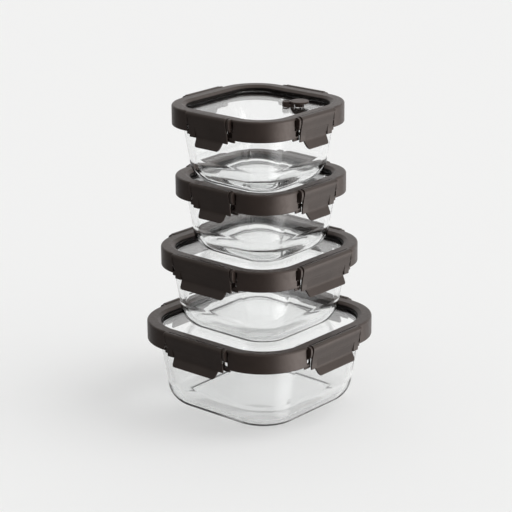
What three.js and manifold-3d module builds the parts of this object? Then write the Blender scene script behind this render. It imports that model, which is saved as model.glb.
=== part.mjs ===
// Stack of four square glass food containers with clip-down lids.
// Millimetres, +Z up, origin at the centre of the lowest container's flat base.
// Each container is a glass bowl, a plastic lid frame that holds a glass pane, a silicone
// gasket and four latches that hang on hinge pins in the frame. The top lid has a steam vent.
import * as THREE from 'three';
import * as BufferGeometryUtils from 'three/addons/utils/BufferGeometryUtils.js';
import Module from 'manifold-3d';

const wasm = await Module();
wasm.setup();

// ---- driving dimensions -------------------------------------------------------------------

// half: half width over the lid frame. height: from the glass foot to the crest of the lid.
// wallTop and knee: insets of the glass where it leaves the frame and where its bottom curve starts.
// offset: how far the container stands off the centre of the stack.
const CONTAINERS = [
  {
    name: 'large', half: 88, height: 80.2, latchHalf: 33.4, tabHalf: 26.5,
    wallTop: 10.8, knee: 18, offset: [0, 0], hasVent: false,
  },
  {
    name: 'medium', half: 76.2, height: 76.1, latchHalf: 33.4, tabHalf: 26.5,
    wallTop: 10.2, knee: 16.6, offset: [0.3, 0.3], hasVent: false,
  },
  {
    name: 'small_lower', half: 65.5, height: 70.6, latchHalf: 22, tabHalf: 15.2,
    wallTop: 9.6, knee: 15.2, offset: [0.4, 3], hasVent: false,
  },
  {
    name: 'small_upper', half: 65.5, height: 70.6, latchHalf: 22, tabHalf: 15.2,
    wallTop: 9.6, knee: 15.2, offset: [0.2, 0.2], hasVent: true,
  },
];
const SIDES = ['front', 'right', 'back', 'left'];

const FIT = 0.3;                // gap kept where two pieces touch
const CORNER_RATIO = 0.56;      // outer corner radius over half width
const CORNER_STEPS = 6;         // chords in a quarter circle of a plan corner

// Insets below are measured inward from the frame's outer face, drops down from the crest.
const FRAME_HEIGHT = 18.4;
const SKIRT_THICK = 3;
const CREST_INSET = 9.4;        // inner edge of the flat crest
const BEVEL_INSET = 12.8;       // inner edge of the bevel inside the crest
const BEVEL_DROP = 1.8;
const LIP_BOTTOM_DROP = 2.1;
const PANE_DROP = 5.3;          // top of the pane
const PANE_THICK = 3;
const PANE_INSET = 10.5;
const PANE_BOTTOM_DROP = PANE_DROP + PANE_THICK;
const GASKET_FACE_INSET = 13.4; // the gasket's inner face, over and under the pane's edge
const GASKET_WRAP_INSET = 9;    // its outer face beside the pane's edge
const GASKET_FOOT_INSET = 7.6;  // outer edge of the flange that seals on the bowl's rim
const GASKET_BOTTOM_DROP = 10.5;
const RIM_DROP = GASKET_BOTTOM_DROP + FIT;

const RIM_INSET = 6.8;          // outer edge of the bowl's rim bead
const RIM_THICK = 4;
const RIM_ROUNDING = 0.6;
const RIM_MOUTH = 1.4;          // how much the mouth of the bowl opens over the wall's thickness
const KNEE_HEIGHT = 20;
const INNER_KNEE_HEIGHT = 18;
const FOOT_INSET = 28.5;
const INNER_FOOT_INSET = 30;
const WALL_THICK = 4.2;
const FLOOR_THICK = 5;
const KNEE_STEPS = 4;

const NOTCH_DEPTH = 3.3;        // recess in the frame behind each latch
const EAR_GAP = 0.9;            // between the end of a latch and the ear that carries its pin
const EAR_WIDTH = 2.5;
const POCKET_WIDTH = 2.5;       // recess between an ear and the frame's corner
const POCKET_DROP = [1.8, 11.4];
const WINDOW_DROP = [11.6, 16.6];
const WINDOW_REACH = [-1.9, 3.8]; // its two sides, outward from the end of the notch
const CUT_CORNER = 1.1;         // corner radius of pockets and windows
const BRIDGE_DROP = 21;         // lower edge of the bridge under each window
const BRIDGE_INSET = 1.5;       // the bridge stands back from the frame's face
const WEB_INSET = 1.7;          // face of the web that closes the notch behind a latch's end
const WEB_REACH = 3;
const WEB_ROOT = 0.9;           // how far the web runs into the frame beside the notch
const OVERLAP = 1;              // how far cutters and joined pieces run past the face they meet

// An ear that carries one end of a hinge pin, as [outward, z] from the frame's face and crest.
const EAR_OUTLINE = [
  [-NOTCH_DEPTH, -0.4], [0, 0.3], [1.6, 0.1], [2.9, -0.7], [3.6, -2.2], [3.6, -5.2],
  [3.2, -8], [2.4, -10.2], [1.2, -11.2], [-NOTCH_DEPTH, -11.2],
];

const HINGE_PROUD = 1.2;        // hinge axis, outward from the frame's face
const HINGE_DROP = 2.5;
const PIN_RADIUS = 1;
const PIN_LENGTH = 3.1;
const PIN_SIDES = 10;
const BARREL_RADIUS = 3.2;
const HOOK_TOP = -13.1;
const HOOK_HEIGHT = 2.3;
const HOOK_SHARE = 0.72;        // length of the hook ridge over the length of the latch
const TAB_NARROWING = 1.6;
const TAB_CORNER = 4;
const TAB_CUTTER_DEPTH = 20;

// Outlines of the latch seen from its end, as [outward, z] from the hinge axis, from top to bottom.
const PLATE_FRONT = [[2.8, -2.6], [1.9, -6.6], [1.2, -10.6], [0.6, -14.6], [0.3, -19.8]];
const PLATE_BACK = [[-0.7, -3.6], [-0.5, -7.8], [-1, -12.8], [-1.3, -19.8]];
const TONGUE_FRONT = [
  [1.2, -10.4], [0.4, -13.8], [-0.5, -17.8], [-0.8, -19.6], [-0.3, -21], [3.5, -27],
];
const TONGUE_BACK = [[-0.8, -11.8], [-1.9, -16.8], [-2.3, -19.6], [-1.7, -21.7], [2.1, -27.8]];

const VENT_CENTRE = [16.6, 18.8];
const VENT_TURN = THREE.MathUtils.degToRad(38);
const VENT_BLOCK = { back: 3.3, front: 2.9, halfWidth: 4.1, height: 5 };
const VENT_STEP = { front: 7.5, height: 2.7 };   // low part of the block, under the flap
const VENT_STEM_RADIUS = 2;
const VENT_FLANGE_RADIUS = 3.2;
const VENT_FLANGE_THICK = 0.9;
const VENT_AXIS = { x: 1.3, z: 3.5 };
const VENT_SLOT_HALF = 1.6;
const VENT_SLOT_BACK = -0.55;
const VENT_SLOT_FLOOR = 1.4;
const VENT_PIN_RADIUS = 0.7;
const VENT_PIN_HALF = 2.6;
const FLAP_RADIUS = 8.6;
const FLAP_CENTRE = 12.1;
const FLAP_BOTTOM = 3.1;
const FLAP_THICK = 2.2;
const PLUG_RADIUS = 4.2;
const PLUG_NECK_RADIUS = 3.1;   // where the plug enters its hole
const PLUG_TIP_RADIUS = 2.3;
const PLUG_TIP_DEPTH = -1.6;
const KNUCKLE_RADIUS = 1.3;
const PLUG_HOLE_RADIUS = 3.6;
const ROUND_STEPS = 20;

// ---- materials ------------------------------------------------------------------------------

const materials = {
  glass: () => new THREE.MeshStandardMaterial({ color: 0xe9eeed, roughness: 0.05, metalness: 0 }),
  plastic: () => new THREE.MeshStandardMaterial({ color: 0x3b312d, roughness: 0.5, metalness: 0 }),
  silicone: () => new THREE.MeshStandardMaterial({ color: 0x2a2422, roughness: 0.65, metalness: 0 }),
};

function makeMesh(name, geometry, material) {
  geometry.computeVertexNormals();
  const mesh = new THREE.Mesh(geometry, materials[material]());
  mesh.name = name;
  return mesh;
}

// ---- solids ---------------------------------------------------------------------------------

function solidOf(geometry) {
  const bare = geometry.clone();
  bare.deleteAttribute('normal');
  bare.deleteAttribute('uv');
  const merged = BufferGeometryUtils.mergeVertices(bare, 1e-4);
  return new wasm.Manifold(new wasm.Mesh({
    numProp: 3,
    vertProperties: new Float32Array(merged.attributes.position.array),
    triVerts: new Uint32Array(merged.index.array),
  }));
}

function geometryOf(solid) {
  const mesh = solid.getMesh();
  const geometry = new THREE.BufferGeometry();
  geometry.setAttribute('position', new THREE.BufferAttribute(mesh.vertProperties, 3));
  geometry.setIndex(new THREE.BufferAttribute(mesh.triVerts, 1));
  return geometry;
}

// Box between two corners given as [x, y, z].
function box(low, high) {
  const size = high.map((value, axis) => value - low[axis]);
  const centre = high.map((value, axis) => (value + low[axis]) / 2);
  return new THREE.BoxGeometry(...size).translate(...centre);
}

// Cylinder along Z between two heights.
function post(radius, low, high, topRadius = radius) {
  const cylinder = new THREE.CylinderGeometry(topRadius, radius, high - low, ROUND_STEPS);
  return cylinder.rotateX(Math.PI / 2).translate(0, 0, (low + high) / 2);
}

// Cylinder along X, centred on the axis.
function rod(radius, halfLength, sides) {
  return new THREE.CylinderGeometry(radius, radius, 2 * halfLength, sides).rotateZ(Math.PI / 2);
}

// Outline of a square with round corners, anticlockwise from above.
function roundedSquare(half, radius) {
  const points = [];
  const centre = half - radius;
  for (let corner = 0; corner < 4; corner += 1) {
    const start = corner * Math.PI / 2;
    const centreX = centre * Math.sign(Math.cos(start + Math.PI / 4));
    const centreY = centre * Math.sign(Math.sin(start + Math.PI / 4));
    for (let step = 0; step <= CORNER_STEPS; step += 1) {
      const angle = start + (step / CORNER_STEPS) * Math.PI / 2;
      points.push([centreX + radius * Math.cos(angle), centreY + radius * Math.sin(angle)]);
    }
  }
  return points;
}

// Closed body through a list of levels { half, radius, z }. A looped body is a ring whose last
// level joins its first; otherwise the first level is closed from below and the last from above.
function loft(levels, looped) {
  const outlines = levels.map((level) => roundedSquare(level.half, level.radius));
  const count = outlines[0].length;
  const positions = [];
  const triangles = [];
  outlines.forEach((outline, row) => {
    outline.forEach(([x, y]) => positions.push(x, y, levels[row].z));
  });
  const rows = looped ? levels.length : levels.length - 1;
  for (let row = 0; row < rows; row += 1) {
    const low = row * count;
    const high = ((row + 1) % levels.length) * count;
    for (let step = 0; step < count; step += 1) {
      const next = (step + 1) % count;
      triangles.push(low + step, low + next, high + next);
      triangles.push(low + step, high + next, high + step);
    }
  }
  if (!looped) {
    const last = (levels.length - 1) * count;
    for (let step = 1; step < count - 1; step += 1) {
      triangles.push(0, step + 1, step);
      triangles.push(last, last + step, last + step + 1);
    }
  }
  const geometry = new THREE.BufferGeometry();
  geometry.setAttribute('position', new THREE.Float32BufferAttribute(positions, 3));
  geometry.setIndex(triangles);
  return geometry;
}

// Level of a container's outline at an inset from the frame's outer face. The plan corners are
// parallel offsets down to the knee, and keep the knee's radius below it.
function level(container, inset, z, sharpest = container.knee) {
  const outerRadius = CORNER_RATIO * container.half;
  return { half: container.half - inset, radius: outerRadius - Math.min(inset, sharpest), z };
}

// ---- glass bowl -----------------------------------------------------------------------------

function bowlGeometry(container) {
  const { wallTop, knee, height } = container;
  const rimTop = height - RIM_DROP;
  const levels = [];
  for (let step = 0; step <= KNEE_STEPS; step += 1) {
    const angle = (step / KNEE_STEPS) * Math.PI / 2;
    const inset = FOOT_INSET - (FOOT_INSET - knee) * Math.sin(angle);
    levels.push(level(container, inset, KNEE_HEIGHT * (1 - Math.cos(angle))));
  }
  levels.push(level(container, wallTop, height - FRAME_HEIGHT));
  levels.push(level(container, wallTop - RIM_ROUNDING, rimTop - RIM_THICK));
  levels.push(level(container, RIM_INSET, rimTop - RIM_THICK + RIM_ROUNDING));
  levels.push(level(container, RIM_INSET, rimTop - RIM_ROUNDING));
  levels.push(level(container, RIM_INSET + RIM_ROUNDING, rimTop));
  levels.push(level(container, wallTop + WALL_THICK - RIM_MOUTH, rimTop));
  const innerKnee = knee + WALL_THICK;
  for (let step = KNEE_STEPS; step >= 1; step -= 1) {
    const angle = (step / KNEE_STEPS) * Math.PI / 2;
    const inset = INNER_FOOT_INSET - (INNER_FOOT_INSET - innerKnee) * Math.sin(angle);
    const z = FLOOR_THICK + INNER_KNEE_HEIGHT * (1 - Math.cos(angle));
    levels.push(level(container, inset, z, innerKnee));
  }
  return loft(levels, false);
}

// ---- lid frame ------------------------------------------------------------------------------

function frameSection(container) {
  const section = [
    [SKIRT_THICK, FRAME_HEIGHT],
    [0.8, FRAME_HEIGHT],
    [0, FRAME_HEIGHT - 0.8],
    [0, 1.6],
    [0.5, 0.5],
    [1.6, 0],
    [CREST_INSET, 0],
    [BEVEL_INSET, BEVEL_DROP],
    [BEVEL_INSET, LIP_BOTTOM_DROP],
    [GASKET_WRAP_INSET - FIT, LIP_BOTTOM_DROP],
    [GASKET_WRAP_INSET - FIT, PANE_BOTTOM_DROP],
    [SKIRT_THICK, PANE_BOTTOM_DROP],
  ];
  return section.map(([inset, drop]) => level(container, inset, container.height - drop));
}

// Prism along X between two stations, from an outline of [outward, z] points. Outward is -Y.
function sideProfile(points, [from, to]) {
  const outline = new THREE.Shape(points.map(([outward, z]) => new THREE.Vector2(outward, z)));
  const prism = new THREE.ExtrudeGeometry(outline, { depth: to - from, bevelEnabled: false });
  return prism.rotateY(-Math.PI / 2).rotateX(Math.PI / 2).translate(to, 0, 0);
}

// Cutter that stands in the XZ plane with round corners, and is pushed through Y from zero.
function uprightCutter([left, right], [low, high], radius, depth) {
  const outline = new THREE.Shape();
  outline.absarc(right - radius, high - radius, radius, 0, Math.PI / 2, false);
  outline.absarc(left + radius, high - radius, radius, Math.PI / 2, Math.PI, false);
  outline.absarc(left + radius, low + radius, radius, Math.PI, 1.5 * Math.PI, false);
  outline.absarc(right - radius, low + radius, radius, 1.5 * Math.PI, 2 * Math.PI, false);
  const cutter = new THREE.ExtrudeGeometry(outline, { depth, bevelEnabled: false, curveSegments: 2 });
  return cutter.rotateX(Math.PI / 2).translate(0, depth, 0);
}

function span(end, from, to) {
  return [end * from, end * to].sort((a, b) => a - b);
}

function frameGeometry(container) {
  const { half, height, latchHalf } = container;
  const notchHalf = latchHalf + EAR_GAP;
  const pocketStart = notchHalf + EAR_WIDTH;
  const pocketEnd = pocketStart + POCKET_WIDTH;
  const face = -half;
  const cutter = (sides, drops) => uprightCutter(
    sides, [-drops[1], -drops[0]], CUT_CORNER, NOTCH_DEPTH + OVERLAP,
  ).translate(0, face - OVERLAP, height);
  let solid = solidOf(loft(frameSection(container), true));
  SIDES.forEach((side, index) => {
    const turn = index * 90;
    const adds = [];
    const cuts = [
      box(
        [-notchHalf, face - OVERLAP, height - BRIDGE_DROP - OVERLAP],
        [notchHalf, face + NOTCH_DEPTH, height - HINGE_DROP],
      ),
      rod(BARREL_RADIUS + FIT, notchHalf, 24)
        .translate(0, face - HINGE_PROUD, height - HINGE_DROP),
    ];
    [-1, 1].forEach((end) => {
      const [bridgeLeft, bridgeRight] = span(end, notchHalf, pocketEnd + OVERLAP);
      adds.push(box(
        [bridgeLeft, face + BRIDGE_INSET, height - BRIDGE_DROP],
        [bridgeRight, face + SKIRT_THICK, height - WINDOW_DROP[1] + 0.2],
      ));
      cuts.push(cutter(span(end, pocketStart, pocketEnd), POCKET_DROP));
    });
    adds.forEach((piece) => {
      solid = solid.add(solidOf(piece).rotate([0, 0, turn]));
    });
    cuts.forEach((piece) => {
      solid = solid.subtract(solidOf(piece).rotate([0, 0, turn]));
    });
    [-1, 1].forEach((end) => {
      const ear = sideProfile(EAR_OUTLINE, span(end, notchHalf, pocketStart))
        .translate(0, face, height);
      const [webLeft, webRight] = span(end, notchHalf - WEB_REACH, notchHalf + WEB_ROOT);
      const web = box(
        [webLeft, face + WEB_INSET, height - BRIDGE_DROP],
        [webRight, face + NOTCH_DEPTH, height - PANE_BOTTOM_DROP + 0.5],
      );
      const [inner, outer] = WINDOW_REACH;
      const window = cutter(span(end, notchHalf + inner, notchHalf + outer), WINDOW_DROP);
      solid = solid.add(solidOf(ear).rotate([0, 0, turn]))
        .add(solidOf(web).rotate([0, 0, turn]))
        .subtract(solidOf(window).rotate([0, 0, turn]));
    });
    const bore = rod(PIN_RADIUS + FIT, pocketStart + 0.5, PIN_SIDES)
      .translate(0, face - HINGE_PROUD, height - HINGE_DROP);
    solid = solid.subtract(solidOf(bore).rotate([0, 0, turn]));
  });
  return geometryOf(solid);
}

// ---- pane and gasket ------------------------------------------------------------------------

function paneGeometry(container) {
  const top = container.height - PANE_DROP;
  const bottom = top - PANE_THICK;
  const pane = loft([
    level(container, PANE_INSET, bottom),
    level(container, PANE_INSET, top),
  ], false);
  if (!container.hasVent) return pane;
  const holes = [
    post(VENT_STEM_RADIUS + FIT, bottom - 1, top + 1),
    post(PLUG_HOLE_RADIUS, bottom - 1, top + 1).translate(FLAP_CENTRE, 0, 0),
  ];
  let solid = solidOf(pane);
  holes.forEach((hole) => {
    hole.rotateZ(VENT_TURN).translate(...VENT_CENTRE, 0);
    solid = solid.subtract(solidOf(hole));
  });
  return geometryOf(solid);
}

// The gasket wraps the pane's edge and seals on the bowl's rim with its flange.
function gasketGeometry(container) {
  const section = [
    [GASKET_FOOT_INSET, GASKET_BOTTOM_DROP],
    [GASKET_FOOT_INSET, PANE_BOTTOM_DROP + FIT],
    [GASKET_WRAP_INSET, PANE_BOTTOM_DROP + FIT],
    [GASKET_WRAP_INSET, LIP_BOTTOM_DROP + FIT],
    [GASKET_FACE_INSET, LIP_BOTTOM_DROP + FIT],
    [GASKET_FACE_INSET, PANE_DROP - FIT],
    [PANE_INSET - FIT, PANE_DROP - FIT],
    [PANE_INSET - FIT, PANE_BOTTOM_DROP + FIT],
    [GASKET_FACE_INSET, PANE_BOTTOM_DROP + FIT],
    [GASKET_FACE_INSET, GASKET_BOTTOM_DROP],
  ];
  return loft(section.map(([inset, drop]) => level(container, inset, container.height - drop)), true);
}

// ---- latch, with its origin on the hinge axis, X along the hinge and -Y outward ---------------

function plateOutline() {
  const points = [];
  const barrelSteps = 7;
  for (let step = 0; step <= barrelSteps; step += 1) {
    const angle = THREE.MathUtils.degToRad(215 - (215 * step) / barrelSteps);
    points.push([BARREL_RADIUS * Math.cos(angle), BARREL_RADIUS * Math.sin(angle)]);
  }
  return [...points, ...PLATE_FRONT, ...PLATE_BACK.toReversed()];
}

// Front outline of the tongue and tab: straight down to the plate's edge, then narrowing.
function tabOutline(half) {
  const plateEdge = PLATE_FRONT.at(-1)[1];
  const tip = TONGUE_BACK.at(-1)[1];
  const tipHalf = half - TAB_NARROWING;
  const outline = new THREE.Shape();
  outline.moveTo(-half, 0);
  outline.lineTo(-half, plateEdge);
  outline.lineTo(-tipHalf, tip + TAB_CORNER);
  outline.quadraticCurveTo(-tipHalf, tip, TAB_CORNER - tipHalf, tip);
  outline.lineTo(tipHalf - TAB_CORNER, tip);
  outline.quadraticCurveTo(tipHalf, tip, tipHalf, tip + TAB_CORNER);
  outline.lineTo(half, plateEdge);
  outline.lineTo(half, 0);
  return new THREE.ExtrudeGeometry(outline, {
    depth: TAB_CUTTER_DEPTH, bevelEnabled: false, curveSegments: 3,
  }).rotateX(Math.PI / 2).translate(0, TAB_CUTTER_DEPTH / 2, 0);
}

function latchGeometry(container) {
  const { latchHalf, tabHalf } = container;
  const along = (half) => [-half, half];
  const hookBack = RIM_INSET - FIT + HINGE_PROUD;
  const hookHalf = latchHalf * HOOK_SHARE;
  const plateBottom = PLATE_FRONT.at(-1)[1];
  const recess = [...TONGUE_FRONT.slice(0, 4), [-0.8, plateBottom - 1], [3, plateBottom - 1]];
  const tongue = solidOf(sideProfile([...TONGUE_FRONT, ...TONGUE_BACK.toReversed()], along(tabHalf)))
    .intersect(solidOf(tabOutline(tabHalf)));
  const hook = sideProfile([
    [-hookBack, HOOK_TOP], [-hookBack, HOOK_TOP - 0.7],
    [1 - hookBack, HOOK_TOP - HOOK_HEIGHT], [-1, HOOK_TOP - HOOK_HEIGHT], [-1, HOOK_TOP],
  ], along(hookHalf));
  return geometryOf(solidOf(sideProfile(plateOutline(), along(latchHalf)))
    .subtract(solidOf(sideProfile(recess, along(tabHalf))))
    .add(tongue)
    .add(solidOf(hook))
    .add(solidOf(rod(PIN_RADIUS, latchHalf + PIN_LENGTH, PIN_SIDES))));
}

function latchMeshes(container) {
  const geometry = latchGeometry(container);
  return SIDES.map((side, index) => {
    const mesh = makeMesh(`${container.name}_latch_${side}`, geometry, 'plastic');
    mesh.position.set(0, -HINGE_PROUD - container.half, container.height - HINGE_DROP);
    const turned = new THREE.Group();
    turned.rotation.z = index * Math.PI / 2;
    turned.add(mesh);
    return turned;
  });
}

// ---- steam vent, with its origin on the pane's top face, X towards the flap -------------------

// Rod across the vent on its hinge axis.
function crossRod(radius, halfLength) {
  return rod(radius, halfLength, PIN_SIDES).rotateZ(Math.PI / 2)
    .translate(VENT_AXIS.x, 0, VENT_AXIS.z);
}

function ventBaseGeometry() {
  const { back, front, halfWidth, height } = VENT_BLOCK;
  const outline = new THREE.Shape();
  outline.moveTo(front, -halfWidth);
  outline.lineTo(front, halfWidth);
  outline.absellipse(0, 0, back, halfWidth, Math.PI / 2, 1.5 * Math.PI, false, 0);
  const block = new THREE.ExtrudeGeometry(outline, {
    depth: height - FIT, bevelEnabled: false, curveSegments: 8,
  }).translate(0, 0, FIT);
  const flangeTop = -PANE_THICK - FIT;
  const step = box([0, -halfWidth, FIT], [VENT_STEP.front, halfWidth, VENT_STEP.height]);
  const stem = post(VENT_STEM_RADIUS, flangeTop - VENT_FLANGE_THICK / 2, 1);
  const flange = post(VENT_FLANGE_RADIUS, flangeTop - VENT_FLANGE_THICK, flangeTop);
  const slot = box(
    [VENT_SLOT_BACK, -VENT_SLOT_HALF, VENT_SLOT_FLOOR],
    [VENT_STEP.front + 1, VENT_SLOT_HALF, height + 1],
  );
  let solid = solidOf(block);
  [step, stem, flange].forEach((piece) => {
    solid = solid.add(solidOf(piece));
  });
  [slot, crossRod(VENT_PIN_RADIUS + FIT, VENT_PIN_HALF + FIT)].forEach((piece) => {
    solid = solid.subtract(solidOf(piece));
  });
  return geometryOf(solid);
}

function ventFlapGeometry() {
  const neckHalf = VENT_SLOT_HALF - FIT;
  const disc = post(FLAP_RADIUS, FLAP_BOTTOM, FLAP_BOTTOM + FLAP_THICK).translate(FLAP_CENTRE, 0, 0);
  const plug = post(PLUG_RADIUS, FIT, FLAP_BOTTOM + 0.5).translate(FLAP_CENTRE, 0, 0);
  const tip = post(PLUG_TIP_RADIUS, PLUG_TIP_DEPTH, FIT + OVERLAP, PLUG_NECK_RADIUS)
    .translate(FLAP_CENTRE, 0, 0);
  const neck = box(
    [VENT_AXIS.x, -neckHalf, VENT_AXIS.z - 1],
    [FLAP_CENTRE - FLAP_RADIUS + 1, neckHalf, VENT_AXIS.z + 1],
  );
  const knuckle = crossRod(KNUCKLE_RADIUS, neckHalf);
  let solid = solidOf(disc);
  [plug, tip, neck, knuckle, crossRod(VENT_PIN_RADIUS, VENT_PIN_HALF)].forEach((piece) => {
    solid = solid.add(solidOf(piece));
  });
  return geometryOf(solid);
}

function ventGroup(container) {
  const vent = new THREE.Group();
  vent.add(makeMesh('vent_base', ventBaseGeometry(), 'silicone'));
  vent.add(makeMesh('vent_flap', ventFlapGeometry(), 'silicone'));
  vent.position.set(...VENT_CENTRE, container.height - PANE_DROP);
  vent.rotation.z = VENT_TURN;
  return vent;
}

// ---- assembly -------------------------------------------------------------------------------

function containerGroup(container) {
  const { name } = container;
  const whole = new THREE.Group();
  whole.add(makeMesh(`${name}_bowl`, bowlGeometry(container), 'glass'));
  whole.add(makeMesh(`${name}_lid_frame`, frameGeometry(container), 'plastic'));
  whole.add(makeMesh(`${name}_lid_pane`, paneGeometry(container), 'glass'));
  whole.add(makeMesh(`${name}_gasket`, gasketGeometry(container), 'silicone'));
  whole.add(...latchMeshes(container));
  if (container.hasVent) whole.add(ventGroup(container));
  return whole;
}

const group = new THREE.Group();
let foot = 0;
CONTAINERS.forEach((container) => {
  const whole = containerGroup(container);
  whole.position.set(...container.offset, foot);
  group.add(whole);
  foot += container.height - PANE_DROP + FIT;
});

export default group;
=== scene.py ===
"""Looks for a stack of four square glass food containers with clip-down lids.

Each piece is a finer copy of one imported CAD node. Pieces are made in millimetres about their
container's own axis, with the foot at zero, and then moved to where the container stands.
"""

import math

import bmesh
import bpy
from mathutils import Matrix, Vector


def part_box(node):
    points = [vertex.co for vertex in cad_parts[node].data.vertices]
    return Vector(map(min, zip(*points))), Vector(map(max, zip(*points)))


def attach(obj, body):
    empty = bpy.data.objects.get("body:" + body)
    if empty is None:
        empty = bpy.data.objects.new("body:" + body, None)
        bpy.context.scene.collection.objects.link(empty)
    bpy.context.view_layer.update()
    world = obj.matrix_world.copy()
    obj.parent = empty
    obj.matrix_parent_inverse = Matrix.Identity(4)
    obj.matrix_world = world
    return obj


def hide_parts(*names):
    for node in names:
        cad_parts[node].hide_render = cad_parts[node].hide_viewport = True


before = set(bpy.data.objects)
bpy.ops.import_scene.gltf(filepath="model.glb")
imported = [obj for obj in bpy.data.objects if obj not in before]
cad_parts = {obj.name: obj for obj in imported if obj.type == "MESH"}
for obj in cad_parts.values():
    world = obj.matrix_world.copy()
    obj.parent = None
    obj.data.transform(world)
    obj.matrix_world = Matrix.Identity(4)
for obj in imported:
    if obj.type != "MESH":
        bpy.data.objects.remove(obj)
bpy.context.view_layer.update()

MM = 0.001                 # metres in a millimetre
SIDES = ("front", "right", "back", "left")
ENDS = (-1, 1)             # the two ends of a latch

# ---- sizes in millimetres: insets run inward from the lid frame's face, drops down from its crest

# tab_half: half width of the finger tab. wall_top and knee: insets of the glass where it leaves
# the frame and where its bottom curve starts.
SHAPES = {
    "large": {"tab_half": 26.5, "wall_top": 10.8, "knee": 18},
    "medium": {"tab_half": 26.5, "wall_top": 10.2, "knee": 16.6},
    "small_lower": {"tab_half": 15.2, "wall_top": 9.6, "knee": 15.2},
    "small_upper": {"tab_half": 15.2, "wall_top": 9.6, "knee": 15.2},
}
VENTED = "small_upper"
FIT = 0.3                  # gap kept where two pieces touch
OVERLAP = 1                # how far cutters and joined pieces run past the face they meet
CORNER_RATIO = 0.56        # outer corner radius over half width

FRAME_HEIGHT = 18.4
SKIRT_THICK = 3
CREST_INSET = 9.4          # inner edge of the flat crest
CREST_ROUNDING = 1.9
BEVEL_INSET = 12.8         # inner edge of the bevel inside the crest
BEVEL_DROP = 1.8
LIP_BOTTOM_DROP = 2.1

PANE_DROP = 5.3            # top of the pane
PANE_THICK = 3
PANE_INSET = 10.5
PANE_ROUNDING = 0.4
PANE_BORDER = 2            # level border inside the rounded edge, which keeps the pane's shading flat
PANE_BOTTOM_DROP = PANE_DROP + PANE_THICK
GASKET_FACE_INSET = 13.4   # the gasket's inner face, over and under the pane's edge
GASKET_WRAP_INSET = 9      # its outer face beside the pane's edge
GASKET_FOOT_INSET = 7.6    # outer edge of the flange that seals on the bowl's rim
GASKET_BOTTOM_DROP = 10.5

RIM_DROP = GASKET_BOTTOM_DROP + FIT
RIM_INSET = 6.8            # outer edge of the bowl's rim bead
RIM_THICK = 4
RIM_ROUNDING = 1.2
RIM_MOUTH = 1.4            # how much the mouth of the bowl opens over the wall's thickness
WALL_BEND = 4              # radius of the wall's bend, level with the frame's lower edge
WALL_LEAN = 0.5            # how far the wall leans out from there to the bead
BEAD_ROOT = 0.8            # radius under the bead
BEAD_SLOPE = 0.4           # how far the bead's underside rises outward
WALL_THICK = 4.2
KNEE_HEIGHT = 20
INNER_KNEE_HEIGHT = 18
FOOT_INSET = 28.5
INNER_FOOT_INSET = 30
FLOOR_THICK = 5
FLOOR_BORDER = 4           # level border of the foot and the floor, which keeps their shading flat
BASE_HOLLOW = [(9, 0.7), (7, 0.7), (FLOOR_BORDER, 0.55), (2.2, 0.1)]   # inward from the foot, height

NOTCH_DEPTH = 3.3          # recess in the frame behind each latch
EAR_GAP = 0.9              # between the end of a latch and the ear that carries its pin
EAR_WIDTH = 2.5
POCKET_WIDTH = 2.5         # recess between an ear and the frame's corner
POCKET_DROP = (1.8, 11.4)
POCKET_CORNER = 1.1
WINDOW_DROP = (11.6, 16.6)
WINDOW_REACH = (-1.9, 3.8)   # its two sides, outward from the end of the notch
WINDOW_CORNER = 0.9
BRIDGE_DROP = 21           # lower edge of the bridge under each window
BRIDGE_INSET = 1.5         # the bridge stands back from the frame's face
WEB_INSET = 1.7            # face of the web that closes the notch behind a latch's end
WEB_REACH = 3
WEB_ROOT = 0.9             # how far the web runs into the frame beside the notch
WEB_TOP_RISE = 0.5         # its upper edge stands this far above the pane's underside
WEB_RISE = 0.1             # its lower edge stands this far above the bridge's
WEB_CORNER = 0.2
BRIDGE_CORNER = 0.5
BRIDGE_FILLET = 0.3
EAR_CORNER = 1.5
EAR_FILLET = 0.35
EAR_REACH = 0.02           # how far an ear runs past the edge of its pocket
BORE_MOUTH = 0.5           # how far the cutter for a pin's bore starts before its ear
BORE_FLOOR = 0.1           # how far the bore stops short of that edge
JOINT_OVERLAP = 0.2        # how far bridges and ears sink into the frame they grow from

HINGE_PROUD = 1.2          # hinge axis, outward from the frame's face
HINGE_DROP = 2.5
PIN_RADIUS = 1
PIN_LENGTH = 3.1
PIN_STEPS = 24
PIN_SLACK = 0.02           # keeps a finer, rounder pin inside its faceted CAD outline
PIN_FILLET = 0.2
BARREL_RADIUS = 3.2
BARREL_SWEEP = 215         # degrees of the barrel's circle that show above the plate
BARREL_STEPS = 14
LATCH_GROOVE = 0.8         # between the barrel of a latch and the frame behind it
PLATE_FILLET = 0.4
PLATE_EDGE = 0.5           # rounding of the plate's lower edge
PLATE_BEND = 8             # radius of the bends along the plate's faces
HOOK_TOP = -13.1
HOOK_LIP = 0.7
HOOK_HEIGHT = 2.3
HOOK_SLOPE = 1             # how far the ridge's back slopes outward down to its foot
HOOK_ROOT = -1             # where the ridge ends, inside the plate
HOOK_ROUNDING = 0.2
HOOK_HEEL = 0.3            # radius at the lower end of the ridge's slope
HOOK_SHARE = 0.72          # length of the hook ridge over the length of the latch
TAB_NARROWING = 1.6
TAB_CORNER = 4
TAB_SHOULDER = 3           # radius where the tab starts to narrow
TAB_CUTTER_DEPTH = 20
TONGUE_ROUNDING = 0.8
TONGUE_GROOVE = 0.25       # fine gap down each side of the tongue
TONGUE_SINK = 0.15         # fine step under the tongue's front
RECESS_MOUTH = 3           # how far out the cutter for the tongue's recess reaches
RECESS_FLOOR = -0.95

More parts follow.
